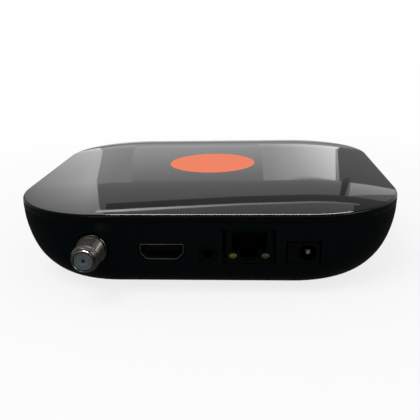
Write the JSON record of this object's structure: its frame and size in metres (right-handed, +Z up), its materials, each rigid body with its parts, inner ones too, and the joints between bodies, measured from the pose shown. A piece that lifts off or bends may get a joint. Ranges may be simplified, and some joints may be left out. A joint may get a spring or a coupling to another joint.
{
  "type": "satellite tv receiver",
  "caption": "Compact set-top satellite receiver in a rounded two-part plastic case with a row of rear sockets and a front standby button.",
  "frame": {"origin": "on the surface the feet stand on, under the middle of the whole footprint with the antenna input included", "axes": "+Z up, front with window and button towards -Y, sockets towards +Y, +X to the right seen from the front"},
  "size_m": [0.1416, 0.1432, 0.0325],
  "materials": {
    "cover_gloss_black": "polished moulded plastic",
    "case_satin_black": "fine satin moulded plastic",
    "window_smoked": "polished smoked acrylic",
    "clear_acrylic": "clear polished acrylic",
    "foot_rubber": "matt moulded rubber",
    "zinc_steel": "zinc plated steel",
    "board_green": "glass fibre board under green solder mask",
    "nickel_plate": "nickel plated brass",
    "insulator_pale": "pale moulded insulator",
    "tinned_sheet": "tinned steel sheet",
    "contact_gold": "gold plated contact alloy",
    "socket_black": "moulded black nylon",
    "lamp_yellow": "tinted lamp resin",
    "lamp_green": "tinted lamp resin",
    "chip_black": "moulded epoxy",
    "pad_grey": "soft heat conducting pad",
    "sink_aluminium": "extruded aluminium",
    "ferrite_grey": "pressed ferrite",
    "can_aluminium": "drawn aluminium can",
    "lamp_white": "white lamp package"
  },
  "bodies": {
    "receiver": {"antenna_barrel": "nickel_plate", "antenna_contact": "contact_gold", "antenna_insulator": "insulator_pale", "av_jack_body": "socket_black", "av_jack_contacts": "contact_gold", "case_screws": "zinc_steel", "clock_crystal": "can_aluminium", "dc_jack_housing": "socket_black", "dc_jack_pin": "nickel_plate", "dc_jack_spring": "contact_gold", "demodulator": "chip_black", "filter_capacitors": "can_aluminium", "flash_chip": "chip_black", "hdmi_contacts": "contact_gold", "hdmi_insulator": "socket_black", "hdmi_shell": "tinned_sheet", "heat_sink": "sink_aluminium", "ir_receiver": "chip_black", "ir_window": "window_smoked", "light_guide": "clear_acrylic", "lower_case": "case_satin_black", "main_board": "board_green", "memory_chips": "chip_black", "network_transformer": "chip_black", "power_inductors": "ferrite_grey", "power_regulators": "chip_black", "processor": "chip_black", "rj45_contacts": "contact_gold", "rj45_housing": "socket_black", "rj45_lamp_green": "lamp_green", "rj45_lamp_yellow": "lamp_yellow", "rubber_feet": "foot_rubber", "status_led": "lamp_white", "tact_switch_body": "socket_black", "thermal_pad": "pad_grey", "top_cover": "cover_gloss_black", "tuner_can": "tinned_sheet", "tuner_can_lid": "tinned_sheet"},
    "button": {"standby_button": "case_satin_black", "tact_switch_plunger": "socket_black"}
  },
  "joints": [
    {"name": "standby_button_press", "type": "slide", "parent": "receiver", "child": "button", "axis": [0, 1, 0], "range_m": [0, 0.0003], "stiffness_N_per_m": 3000}
  ]
}
